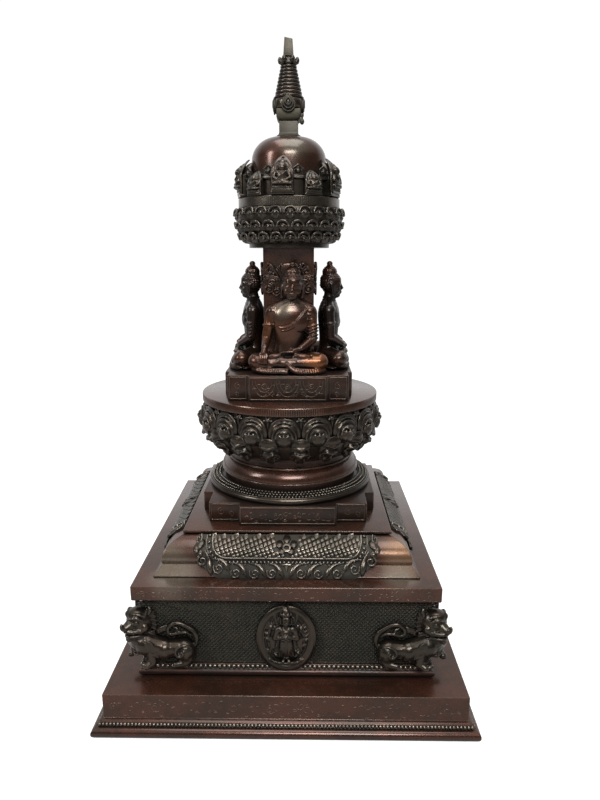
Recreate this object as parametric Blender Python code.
"""A cast bronze altar stupa, 0.6 m tall.

From the floor up: a moulded plinth, a square die with a medallion on each face and a
two-bodied lion on each corner, a cornice, a cushion-shaped tier with an apron on each side,
a stepped block, a leaf ring, a bell ring, a lotus bowl, a stepped pedestal, a pillar with a
seated figure and a scroll halo on each face, a second lotus, a drum with niches, a dome,
a square neck, an eyed box, a ringed spire, a leaf collar and a bare square tang.

The origin is the middle of the underside. The front faces -Y, +X is to the right and +Z is up.
"""
import bpy
import bmesh
from math import cos, pi, radians, sin
from mathutils import Matrix, Vector

MM = 0.001
GAP = 0.3 * MM
SIDES = 4
SIDE_NAMES = ("front", "right", "back", "left")
CORNER_NAMES = ("front_right", "back_right", "back_left", "front_left")
FLAT_SHADING_ANGLE = radians(38)

# Heights of the joints between the tiers, from the floor up.
Z_PLINTH = 37.5 * MM
Z_DIE = 112.5 * MM
Z_CORNICE = 127.0 * MM
Z_CUSHION = 158.0 * MM
Z_SLAB = 161.9 * MM
Z_BLOCK = 180.6 * MM
Z_LEAF_SEAT = 187.0 * MM
Z_BELL = 217.0 * MM
Z_BOWL = 265.7 * MM
Z_DISC = 274.7 * MM
Z_SEAT = 299.0 * MM
Z_PILLAR = 414.2 * MM
Z_LOTUS = 450.2 * MM
Z_DRUM = 478.7 * MM
Z_DOME = 514.8 * MM
Z_NECK = 528.3 * MM
Z_HARMIKA = 538.5 * MM
Z_SPIRE = 577.0 * MM
Z_COLLAR = 587.0 * MM
Z_TOP = 600.0 * MM

# Half widths of the square pieces.
PLINTH_HALF = 158.5 * MM
DIE_HALF = 128.0 * MM
DIE_RIM_HALF = 133.0 * MM
DIE_BEAD_HALF = 130.5 * MM
Z_DIE_BEAD = 49.0 * MM
CORNICE_HALF = 135.3 * MM
PILLAR_HALF = 24.1 * MM
NECK_HALF = 8.7 * MM
BOX_HALF = 11.1 * MM

# The oval medallions.
MEDALLION_WIDE = 54.0 * MM
MEDALLION_TALL = 66.0 * MM
MEDALLION_Z = 75.7 * MM

# The aprons on the cushion tier, and the ornament round the drum.
APRON_HALF = 86.0 * MM
DRUM_RADIUS = 41.5 * MM
DOME_RADIUS = 35.8 * MM
NICHES = 5
NICHE_TURN = 2 * pi / NICHES
DRUM_TURN = radians(-5.6)

LOWER_PETALS = 18
UPPER_PETALS = 24
SPIRE_RINGS = 13

# The front figure leans to its left from the waist up, and the right one leans forward.
FRONT_LEAN = 4.2 * MM
RIGHT_LEAN = 3.4 * MM
WAIST, CROWN = 20.0 * MM, 80.0 * MM


def clear_scene():
    """Remove what the start-up file holds."""
    for item in list(bpy.data.objects):
        bpy.data.objects.remove(item, do_unlink=True)


def bronze(name, colour, roughness, metallic):
    """A bronze finish of one colour."""
    made = bpy.data.materials.new(name)
    made.use_nodes = True
    shader = made.node_tree.nodes["Principled BSDF"]
    shader.inputs["Base Color"].default_value = (*colour, 1.0)
    shader.inputs["Roughness"].default_value = roughness
    shader.inputs["Metallic"].default_value = metallic
    return made


def show(name, bm, finish):
    """Close a bmesh into a named object with smooth round stretches and crisp edges."""
    bmesh.ops.recalc_face_normals(bm, faces=bm.faces[:])
    mesh = bpy.data.meshes.new(name)
    bm.to_mesh(mesh)
    bm.free()
    mesh.materials.append(finish)
    mesh.shade_smooth()
    mesh.set_sharp_from_angle(angle=FLAT_SHADING_ANGLE)
    made = bpy.data.objects.new(name, mesh)
    bpy.context.collection.objects.link(made)
    return made


def cutter(name, bm):
    """A shape that only cuts others."""
    made = show(name, bm, FINISH["relief"])
    made.hide_render = True
    made.display_type = "WIRE"
    return made


def boolean(made, other, operation):
    """Join or cut an object with another one."""
    step = made.modifiers.new(other.name, "BOOLEAN")
    step.operation = operation
    step.solver = "EXACT"
    step.object = other


def stack(rings):
    """A bmesh of one closed body through rings of points, from the lowest to the highest."""
    bm = bmesh.new()
    rows = [[bm.verts.new(point) for point in ring] for ring in rings]
    count = len(rows[0])
    for low, high in zip(rows, rows[1:]):
        for i in range(count):
            j = (i + 1) % count
            bm.faces.new((low[i], low[j], high[j], high[i]))
    bm.faces.new(reversed(rows[0]))
    bm.faces.new(rows[-1])
    return bm


def square_ring(half, z):
    """The four corners of a square course."""
    return [Vector((x * half, y * half, z)) for x, y in ((-1, -1), (1, -1), (1, 1), (-1, 1))]


def round_ring(radius, z, count, dip=0.0, lobes=0, shift=0.0):
    """A circle, or a lobed circle that dips inwards between its lobes."""
    ring = []
    for i in range(count):
        angle = 2 * pi * i / count - pi / 2
        lobe = abs(cos(lobes * (angle + pi / 2) / 2 + shift)) if lobes else 1.0
        reach = radius - dip * (1 - lobe)
        ring.append(Vector((reach * cos(angle), reach * sin(angle), z)))
    return ring


def square_tier(name, profile, finish):
    """A square course with the given half widths and heights, in millimetres."""
    return show(name, stack([square_ring(half * MM, z * MM) for half, z in profile]), finish)


def turned(profile, count=48):
    """A bmesh turned about the upright axis, from radii and heights in millimetres."""
    return stack([round_ring(radius * MM, z * MM, count) for radius, z in profile])


def petalled(rows, lobes, per_lobe):
    """A turned body whose rows of petals dip inwards between their tips."""
    count = lobes * per_lobe
    rings = []
    for radius, z, dip, half_step in rows:
        shift = pi / 2 if half_step else 0.0
        rings.append(round_ring(radius * MM, z * MM, count, dip * MM, lobes, shift))
    return stack(rings)


def stepped_plan(main, reach, middle):
    """The outline of a square block whose four sides each have a raised middle."""
    side = [(-main, -main), (-middle, -main), (-middle, -reach), (middle, -reach), (middle, -main)]
    outline = []
    for k in range(SIDES):
        turn = Matrix.Rotation(k * pi / 2, 2)
        outline.extend(turn @ Vector(point) for point in side)
    return outline


def stepped_block(name, main, reach, middle, low, high, finish):
    """A block on the stepped plan, with sizes in metres."""
    outline = stepped_plan(main, reach, middle)
    rings = [[Vector((p.x, p.y, z)) for p in outline] for z in (low, high)]
    return show(name, stack(rings), finish)


def box(low, high):
    """A bmesh of a plain box between two corners."""
    bm = bmesh.new()
    size = Vector(high) - Vector(low)
    middle = (Vector(high) + Vector(low)) / 2
    bmesh.ops.create_cube(bm, size=1.0, matrix=Matrix.Translation(middle) @ Matrix.Diagonal((*size, 1)))
    return bm


def ball(bm, centre, radii):
    """Add an egg-shaped lump, in millimetres."""
    place = Matrix.Translation(Vector(centre) * MM)
    size = Matrix.Diagonal((*(Vector(radii) * MM), 1))
    bmesh.ops.create_uvsphere(bm, u_segments=16, v_segments=10, radius=1, matrix=place @ size)


def limb(bm, start, end, start_radius, end_radius):
    """Add a tapered limb with round ends, in millimetres."""
    a, b = Vector(start), Vector(end)
    along = b - a
    turn = along.to_track_quat("Z", "Y").to_matrix().to_4x4()
    place = Matrix.Translation((a + b) / 2 * MM) @ turn
    bmesh.ops.create_cone(bm, cap_ends=True, segments=16, radius1=start_radius * MM,
                          radius2=end_radius * MM, depth=along.length * MM, matrix=place)
    ball(bm, start, (start_radius,) * 3)
    ball(bm, end, (end_radius,) * 3)


def cast(name, bm, finish, voxel, share, cutters=()):
    """Fuse overlapping lumps into one skin, thin its faces out, and cut it to its seat."""
    made = show(name, bm, finish)
    fuse = made.modifiers.new("fuse", "REMESH")
    fuse.mode = "VOXEL"
    fuse.voxel_size = voxel * MM
    thin = made.modifiers.new("thin", "DECIMATE")
    thin.ratio = share
    for other in cutters:
        boolean(made, other, "DIFFERENCE")
    return made


def outer_skin(bm):
    """Fill the pockets sealed inside a fused shape, by keeping its outer skin alone."""
    waiting = set(bm.verts)
    shells = []
    while waiting:
        shell, edge = set(), [waiting.pop()]
        while edge:
            vert = edge.pop()
            shell.add(vert)
            near = {e.other_vert(vert) for e in vert.link_edges} & waiting
            waiting -= near
            edge.extend(near)
        shells.append(shell)
    shells.sort(key=len)
    for shell in shells[:-1]:
        bmesh.ops.delete(bm, geom=list(shell), context="VERTS")


def settle(made):
    """Apply all the modifiers of an object, so that its copies share the finished mesh."""
    graph = bpy.context.evaluated_depsgraph_get()
    finished = bpy.data.meshes.new_from_object(made.evaluated_get(graph))
    made.modifiers.clear()
    bm = bmesh.new()
    bm.from_mesh(finished)
    outer_skin(bm)
    bm.to_mesh(finished)
    bm.free()
    made.data = finished


def repeat_round(first, names, step):
    """Finish a piece and copy it round the axis."""
    settle(first)
    for k, name in enumerate(names, start=1):
        copy = first.copy()
        copy.name = name
        copy.rotation_euler = (0, 0, k * step)
        bpy.context.collection.objects.link(copy)


def build_base():
    """Plinth, die and cornice."""
    square_tier("plinth", [(166.5, 0), (168, 2.5), (168, 7), (166.5, 9.5), (162.5, 10), (162.5, 13.5),
                           (160.5, 14.8), (PLINTH_HALF / MM, 15), (PLINTH_HALF / MM, Z_PLINTH / MM)],
                FINISH["polished"])
    rim, bead, face = DIE_RIM_HALF / MM, DIE_BEAD_HALF / MM, DIE_HALF / MM
    square_tier("die", [(rim - 1.5, 37.8), (rim, 39.5), (rim, 42.5), (rim - 1.5, 44.5), (bead, 44.7),
                        (bead, Z_DIE_BEAD / MM), (face, 49.5), (face, Z_DIE / MM)], FINISH["patina"])
    edge = CORNICE_HALF / MM
    square_tier("cornice", [(edge - 2.8, 112.8), (edge - 0.8, 113.3), (edge, 115), (edge, Z_CORNICE / MM)],
                FINISH["polished"])


def build_medallions():
    """Oval plates with a raised rim, a body halo and a small standing figure."""
    wide, tall = MEDALLION_WIDE / 2, MEDALLION_TALL / 2
    back = DIE_HALF + GAP
    steps = ((1.0, 0.0), (1.0, 7.5 * MM), (0.95, 9.2 * MM), (0.89, 7.5 * MM), (0.86, 5.8 * MM))
    rings = []
    for scale, out in steps:
        ring = []
        for i in range(24):
            angle = 2 * pi * i / 24
            ring.append(Vector((wide * scale * cos(angle), -back - out,
                                MEDALLION_Z + tall * scale * sin(angle))))
        rings.append(ring)
    plate = show("medallion_front", stack(rings), FINISH["relief"])
    rim_notch = cutter("rim_notch", box((-0.05, -DIE_RIM_HALF - GAP, 0.03),
                                        (0.05, -0.1, Z_DIE_BEAD + 0.0005)))

    standing = bmesh.new()
    y = -(back / MM) - 5.6
    low = MEDALLION_Z / MM
    ball(standing, (0, y - 2.4, low + 17), (4.6, 4.4, 5.8))
    ball(standing, (0, y - 1.8, low + 23.5), (3.2, 3.2, 3.4))
    ball(standing, (0, y - 1.6, low + 5), (7.4, 4.2, 8.5))
    ball(standing, (0, y - 1.6, low - 5), (6.2, 4.0, 6.0))
    for side in (-1, 1):
        limb(standing, (side * 8, y - 1.2, low + 9), (side * 9.2, y - 2.2, low), 2.6, 2.2)
        limb(standing, (side * 9.2, y - 2.2, low), (side * 3, y - 4.4, low + 1), 2.2, 2.0)
        limb(standing, (side * 3.4, y - 1.4, low - 6), (side * 3.4, y - 1.6, low - 21), 3.6, 2.5)
        limb(standing, (side * 12, y - 0.2, low - 17), (side * 16, y - 0.6, low - 4), 1.7, 1.7)
        ball(standing, (side * 15.5, y - 1, low + 5), (3.8, 2.8, 4.2))
    ball(standing, (0, y - 1.4, low - 24), (11, 3.6, 3.8))
    figure = cutter("standing_figure", standing)
    fuse = figure.modifiers.new("fuse", "REMESH")
    fuse.mode = "VOXEL"
    fuse.voxel_size = 1.4 * MM
    figure.modifiers.new("thin", "DECIMATE").ratio = 0.06
    boolean(plate, figure, "UNION")
    boolean(plate, rim_notch, "DIFFERENCE")
    repeat_round(plate, ["medallion_" + side for side in SIDE_NAMES[1:]], pi / 2)


def lion_lumps():
    """One lion head on the front right corner, with a body along each face."""
    bm = bmesh.new()
    face = DIE_HALF / MM

    def place(along, out, z, other):
        """A point given by its distance from the corner along a face, and out from it."""
        x, y = face - along, -(face + out)
        return (-y, -x, z) if other else (x, y, z)

    for other in (False, True):
        limb(bm, place(38, 4.5, 66, other), place(4, 5, 69, other), 8.5, 10)
        ball(bm, place(39.5, 4.5, 63, other), (10, 10, 11))
        limb(bm, place(44, 6, 60, other), (place(41, 7, 53.5, other)), 4.5, 3.5)
        limb(bm, place(41, 7, 53.5, other), place(34, 8, 52.6, other), 3.5, 3.0)
        limb(bm, place(9, 8, 65, other), place(10, 9, 54, other), 5, 4)
        limb(bm, place(10, 9, 54, other), place(5.5, 11.5, 52.8, other), 4, 3.2)
        limb(bm, place(46, 3.5, 68, other), place(49, 3.5, 80, other), 2.6, 2.8)
        limb(bm, place(49, 3.5, 80, other), place(44, 3.5, 86, other), 2.8, 2.6)
        limb(bm, place(44, 3.5, 86, other), place(30, 3.8, 90, other), 2.6, 2.4)
        limb(bm, place(30, 3.8, 90, other), place(24, 4, 84, other), 2.4, 2.2)
        limb(bm, place(24, 4, 84, other), place(31, 4, 80, other), 2.2, 2.0)
        ball(bm, place(7, 7, 80, other), (7, 7, 9))
        ball(bm, place(5, 6, 99, other), (4.5, 4.5, 6.5))
    ball(bm, (face + 2, -face - 2, 71), (11.5, 11.5, 14))
    ball(bm, (face + 2, -face - 2, 90), (13, 13, 14))
    limb(bm, (face + 4, -face - 4, 92), (face + 10.5, -face - 10.5, 90), 8, 5.2)
    limb(bm, (face + 3, -face - 3, 82), (face + 9.5, -face - 9.5, 80), 7, 3.6)
    return bm


def build_lions():
    """Four corner lions, cut to the corner that they wrap."""
    core = cutter("die_corner", box((-DIE_HALF - GAP,) * 2 + (0.045,), (DIE_HALF + GAP,) * 2 + (0.12,)))
    bead_half = DIE_BEAD_HALF + GAP
    foot = cutter("die_foot", box((-bead_half,) * 2 + (0.03,), (bead_half,) * 2 + (Z_DIE_BEAD + 2.2 * GAP,)))
    first = cast("lion_" + CORNER_NAMES[0], lion_lumps(), FINISH["relief"], 1.6, 0.045, (core, foot))
    repeat_round(first, ["lion_" + name for name in CORNER_NAMES[1:]], pi / 2)


CUSHION_PROFILE = [(118.7, 127.3), (118.7, 129), (115.2, 130.6), (113.2, 133), (112, 135.5),
                   (112.5, 139), (111, 145.7), (109.8, 148.2), (105.5, 152), (99.5, 154.5),
                   (95.8, Z_CUSHION / MM)]


def build_cushion():
    """The cushion tier, its top slab and the four aprons that hang over it."""
    square_tier("cushion_tier", CUSHION_PROFILE, FINISH["polished"])
    slab_profile = [(93.5, (Z_CUSHION + GAP) / MM), (94, 159), (95.4, 159.4), (95.4, Z_SLAB / MM)]
    square_tier("cushion_slab", slab_profile, FINISH["polished"])

    inner = [(half + 0.7, z) for half, z in CUSHION_PROFILE[1:]]
    outer = [(97.6, 159.4), (107, 154.6), (112.6, 149.6), (114.8, 146), (115.4, 140),
             (119.5, 137.5), (121.5, 132), (122, 127.4)]
    section = [(inner[0][0], 127.4)] + inner + outer
    first = show("apron_front", stack([[Vector((x, -half * MM, z * MM)) for half, z in section]
                                       for x in (-APRON_HALF, APRON_HALF)]), FINISH["relief"])
    rosette = bmesh.new()
    place = Matrix.Translation(Vector((0, -114.3, 149.6)) * MM) @ Matrix.Diagonal((1, 0.36, 0.8, 1))
    bmesh.ops.create_uvsphere(rosette, u_segments=10, v_segments=6, radius=8.5 * MM, matrix=place)
    boolean(first, cutter("rosette", rosette), "UNION")
    repeat_round(first, ["apron_" + side for side in SIDE_NAMES[1:]], pi / 2)


def build_middle():
    """Stepped block, leaf ring, bell ring, lotus bowl, its disc and the pedestal."""
    stepped_block("stepped_block", 74.2 * MM, 83.4 * MM, 45.4 * MM, Z_SLAB + GAP, Z_BLOCK, FINISH["patina"])
    show("leaf_ring", turned([(79, 180.9), (81.5, 182.5), (83, 185), (81.5, 187.2), (73, 190.5),
                              (70.8, 189.5), (70.3, Z_LEAF_SEAT / MM)], 40), FINISH["relief"])
    show("bell_ring", turned([(67, 187.3), (67, 195.6), (70, 196.2), (70, 198.6), (69, 202), (66.8, 205.6),
                              (64, 208.2), (61.6, 209.6), (60.4, 211.4), (60, Z_BELL / MM)], 40),
         FINISH["polished"])
    small_row = [(70, 217.8, 3, True), (78.6, 221, 5, True), (83.6, 226.4, 6, True), (87.2, 232.6, 6, True),
                 (89.4, 238.4, 5, True), (88.8, 242, 2.5, True)]
    large_row = [(90, 245.4, 3, False), (92.2, 249.4, 5, False), (92.8, 254.6, 6, False),
                 (91.4, 260, 6, False), (88.2, 264, 3, False)]
    bowl = petalled([(60, 217.3, 0, True)] + small_row + [(86.4, 243.4, 0, False)] + large_row +
                    [(85.8, Z_BOWL / MM, 0, False)], LOWER_PETALS, 8)
    show("lotus_bowl", bowl, FINISH["relief"])
    show("lotus_disc", turned([(86.8, 266), (88, 267), (88, 274), (87.3, Z_DISC / MM)], 48),
         FINISH["polished"])
    stepped_block("pedestal", 56.3 * MM, 60.4 * MM, 36.5 * MM, Z_DISC + GAP, Z_SEAT, FINISH["patina"])


def build_pillar():
    """A square pillar with a sunk panel on each face."""
    bm = stack([square_ring(PILLAR_HALF, Z_SEAT + GAP), square_ring(PILLAR_HALF, Z_PILLAR)])
    sides = [face for face in bm.faces if abs(face.normal.z) < 0.5]
    bmesh.ops.inset_individual(bm, faces=sides, thickness=4 * MM, depth=-1.2 * MM)
    show("pillar", bm, FINISH["polished"])


def figure_lumps(gesture):
    """A seated figure, in millimetres from the foot of the pillar's face, looking along -Y.

    The gestures are: earth, giving, resting and fearless.
    """
    bm = bmesh.new()
    ball(bm, (0, -10, 12), (19, 13, 12))
    ball(bm, (0, -10.5, 30), (14.5, 9.5, 16))
    ball(bm, (0, -11, 49), (18.2, 10.6, 14.2))
    limb(bm, (0, -11, 60), (0, -12.5, 71), 6.8, 5.8)
    ball(bm, (0, -13.8, 80), (9.6, 10.6, 12.6))
    ball(bm, (0, -13, 84), (10.5, 10.6, 9.8))
    ball(bm, (0, -12, 93), (6.6, 6.4, 5.6))
    ball(bm, (0, -12, 100.4), (3, 3, 3.2))
    for side in (-1, 1):
        ball(bm, (side * 10, -12, 77), (1.8, 3, 6.5))
        ball(bm, (side * 17.6, -10.8, 57), (7, 7, 6.6))
        limb(bm, (side * 18.6, -10.8, 55), (side * 21.8, -12.6, 31), 5.8, 4.8)
        limb(bm, (side * 11, -13, 10.5), (side * 29, -21.5, 12), 9.6, 8.2)
        limb(bm, (side * 28, -23, 11), (-side * 7, -25.5, 11), 7.6, 6.2)
    left_hand = {"earth": (2, -26.5, 21.5), "giving": (2, -26.5, 21.5),
                 "resting": (3, -27, 22), "fearless": (2, -26.5, 21.5)}[gesture]
    limb(bm, (21.8, -12.6, 31), (12, -23.5, 23.8), 4.6, 3.7)
    limb(bm, (12, -23.5, 23.8), left_hand, 3.6, 3)
    if gesture == "earth":
        limb(bm, (-21.8, -12.6, 31), (-22, -24.8, 24.6), 4.6, 3.6)
        limb(bm, (-22, -24.8, 24.6), (-22.8, -31, 12.6), 3.6, 2.8)
    if gesture == "giving":
        limb(bm, (-21.8, -12.6, 31), (-23.6, -25.4, 24.6), 4.6, 3.6)
        limb(bm, (-23.6, -25.4, 24.6), (-25.4, -32, 15.6), 3.8, 3)
    if gesture == "resting":
        limb(bm, (-21.8, -12.6, 31), (-12, -23.5, 23.8), 4.6, 3.7)
        limb(bm, (-12, -23.5, 23.8), (-3, -27, 22), 3.6, 3)
    if gesture == "fearless":
        limb(bm, (-21.8, -12.6, 31), (-18.4, -23.8, 38.4), 4.6, 3.6)
        limb(bm, (-18.4, -23.8, 38.4), (-17.4, -25.4, 50), 3.8, 3)
    hem = Matrix.Translation(Vector((0, -18.5, 2.4)) * MM) @ Matrix.Diagonal((1, 0.4, 1, 1))
    bmesh.ops.create_cone(bm, cap_ends=True, segments=32, radius1=35 * MM, radius2=34 * MM,
                          depth=4.8 * MM, matrix=hem)
    return bm


def build_figures():
    """Four seated figures with their backs to the pillar, and the halos behind their heads."""
    half = PILLAR_HALF + GAP
    shaft = cutter("pillar_room", box((-half, -half, 0.28), (half, half, 0.43)))
    seat = cutter("seat_room", box((-0.07, -0.07, 0.28), (0.07, 0.07, Z_SEAT + GAP)))
    place = Matrix.Translation((0, -PILLAR_HALF, Z_SEAT))
    for k, (side, gesture) in enumerate(zip(SIDE_NAMES, ("earth", "resting", "fearless", "giving"))):
        bm = figure_lumps(gesture)
        if side == "front":
            for vert in bm.verts:
                vert.co.x += FRONT_LEAN * min(max((vert.co.z - WAIST) / (CROWN - WAIST), 0.0), 1.0)
        if side == "right":
            for vert in bm.verts:
                vert.co.y -= RIGHT_LEAN * min(max(vert.co.z / WAIST, 0.0), 1.0)
        bmesh.ops.transform(bm, matrix=Matrix.Rotation(k * pi / 2, 4, "Z") @ place, verts=bm.verts[:])
        settle(cast("figure_" + side, bm, FINISH["figure"], 1.5, 0.034, (shaft, seat)))

    outline = []
    leaves = 11
    for i in range(2 * leaves):
        angle = pi * i / leaves
        swell = 1 - 0.09 * (i % 2)
        outline.append((24.2 * swell * cos(angle), 16 * swell * sin(angle)))
    depths = (GAP, 1.9 * MM)
    rings = [[Vector((x * MM, -PILLAR_HALF - out, 386.8 * MM + z * MM)) for x, z in outline]
             for out in depths]
    first = show("halo_front", stack(rings), FINISH["relief"])
    repeat_round(first, ["halo_" + side for side in SIDE_NAMES[1:]], pi / 2)


def arch(wide, low, high, front, back, hood):
    """A pointed arch block that faces -Y, in millimetres; its top slopes down by the hood."""
    steps = 4
    layers = []
    for y, drop in ((back, 0.0), ((front + back) / 2, 0.12), (front - 2, 0.5), (front, 1.0)):
        top = high - hood * drop
        spring = low + 0.55 * (top - low)
        outline = [(-wide / 2, low), (wide / 2, low), (wide / 2, spring)]
        for i in range(1, steps):
            t = i / steps
            outline.append((wide / 2 * cos(t * pi / 2) ** 0.8, spring + (top - spring) * t))
        outline.append((0, top))
        for i in range(steps - 1, 0, -1):
            t = i / steps
            outline.append((-wide / 2 * cos(t * pi / 2) ** 0.8, spring + (top - spring) * t))
        outline.append((-wide / 2, spring))
        layers.append([Vector((x, -y, z)) * MM for x, z in outline])
    return stack(layers)


def build_upper():
    """The second lotus, the drum with its niches, and the dome."""
    foot = [(37.5, 414.5, 0, False), (38.6, 415.3, 0, False), (38.6, 418.4, 0, False), (42, 419, 0, False)]
    low_row = [(46.4, 421.8, 2, False), (48.8, 426.8, 2.6, False), (47.8, 429.4, 0, False)]
    middle_row = [(50.4, 432.4, 2, True), (52, 437.2, 2.6, True), (50.4, 439.8, 0, True)]
    top_row = [(52.4, 442.6, 2, False), (53, 447.6, 2.6, False), (50, Z_LOTUS / MM, 0, False)]
    lotus = petalled(foot + low_row + middle_row + top_row, UPPER_PETALS, 6)
    show("upper_lotus", lotus, FINISH["relief"])

    drum = show("niche_drum", turned([(47.6, 450.5), (48.2, 451.2), (48.2, 459), (47.5, 459.5),
                                      (41.5, 459.6), (41.5, 477.6), (42.5, 478), (42.5, Z_DRUM / MM)], 40),
                FINISH["relief"])
    radius, wall = DRUM_RADIUS / MM, DOME_RADIUS / MM
    core = cutter("drum_room", turned([(radius + 1.3, 445), (radius + 1.3, 479), (wall + 0.3, 479.1),
                                       (wall + 0.3, 505)], 48))
    for k in range(NICHES):
        small = cutter("small_niche_%d" % k, arch(13.5, 459.8, 481.6, 47, 37.5, 5))
        small.rotation_euler = (0, 0, DRUM_TURN + (k + 0.5) * NICHE_TURN)
        boolean(drum, small, "UNION")
    settle(drum)
    plate = arch(19.8, 460, 493.6, 48.6, 34, 11)
    bmesh.ops.rotate(plate, verts=plate.verts[:], matrix=Matrix.Rotation(DRUM_TURN, 3, "Z"))
    large = show("niche_1", plate, FINISH["relief"])
    boolean(large, core, "DIFFERENCE")
    repeat_round(large, ["niche_%d" % (k + 2) for k in range(NICHES - 1)], NICHE_TURN)

    show("dome", turned([(35.8, 479), (35.3, 489), (34.9, 496.2), (34, 498.9), (33, 501.6),
                         (31.5, 504.2), (29.6, 506.9), (27.3, 509.5), (23, 512.2),
                         (14.5, Z_DOME / MM)], 36), FINISH["polished"])


def spire_radius(z):
    """Outer radius of the spire's rings at a height, all in millimetres."""
    return 13.6 - 0.05 * (z - 538.8) if z < 549 else 13.1 - 0.218 * (z - 549)


def build_top():
    """Neck, eyed box with its one hanging drop, spire, collar and tang."""
    neck = NECK_HALF / MM
    square_tier("neck", [(neck + 2, 515.1), (neck + 0.4, 516.5), (neck, 518), (neck, Z_NECK / MM)],
                FINISH["worn"])
    slab = BOX_HALF / MM
    harmika = square_tier("harmika", [(neck, 528.6), (slab, 530.5), (slab, 536), (slab - 0.5, 536.4),
                                      (slab - 0.5, Z_HARMIKA / MM)], FINISH["relief"])
    for k in range(SIDES):
        rings = []
        for radius, out in ((6.4, 10.2), (6.4, 14.6), (4.6, 15.8), (2, 15.8)):
            rings.append([Vector((radius * cos(a), -out, 541.8 + radius * sin(a))) * MM
                          for a in (2 * pi * i / 12 for i in range(12))])
        eye = cutter("eye_%d" % k, stack(rings))
        eye.rotation_euler = (0, 0, k * pi / 2)
        boolean(harmika, eye, "UNION")
    boolean(harmika, cutter("spire_room", turned([(14, 538.5), (14, 556)], 20)), "DIFFERENCE")
    settle(harmika)

    drop = turned([(0.5, 524), (1.7, 525.2), (2.1, 527), (0.9, 530), (1.68, 531.3), (1.68, 533.4)], 12)
    bmesh.ops.translate(drop, verts=drop.verts[:], vec=Vector((12.5, -12.5, 0)) * MM)
    show("corner_drop", drop, FINISH["worn"])

    low, high = Z_HARMIKA / MM + 0.3, Z_SPIRE / MM
    pitch = (high - low) / SPIRE_RINGS
    profile = []
    for i in range(SPIRE_RINGS):
        z = low + i * pitch
        profile.append((spire_radius(z) - 1.7, z))
        profile.append((spire_radius(z + 0.55 * pitch), z + 0.55 * pitch))
    profile.append((5.4, high))
    show("spire", turned(profile, 18), FINISH["relief"])

    collar = petalled([(5.6, 577.3, 0, False), (7, 579, 0.8, False), (8.7, 583, 2, False),
                       (9, 586, 3.4, False), (6, Z_COLLAR / MM, 0.6, False)], 8, 3)
    show("collar", collar, FINISH["relief"])
    tang = stack([square_ring(4.6 * MM, Z_COLLAR + GAP), square_ring(3.7 * MM, Z_TOP)])
    for vert in tang.verts:
        if vert.co.z > Z_TOP - MM and vert.co.x > 0:
            vert.co.z -= 1.4 * MM
    show("tang", tang, FINISH["worn"])


clear_scene()
FINISH = {
    "polished": bronze("polished_bronze", (0.070, 0.032, 0.025), 0.28, 0.85),
    "patina": bronze("patina_bronze", (0.035, 0.026, 0.022), 0.45, 0.8),
    "relief": bronze("relief_bronze", (0.040, 0.034, 0.028), 0.48, 0.8),
    "figure": bronze("figure_bronze", (0.085, 0.040, 0.026), 0.36, 0.85),
    "worn": bronze("worn_bronze", (0.120, 0.105, 0.080), 0.5, 0.75),
}
build_base()
build_medallions()
build_lions()
build_cushion()
build_middle()
build_pillar()
build_figures()
build_upper()
build_top()
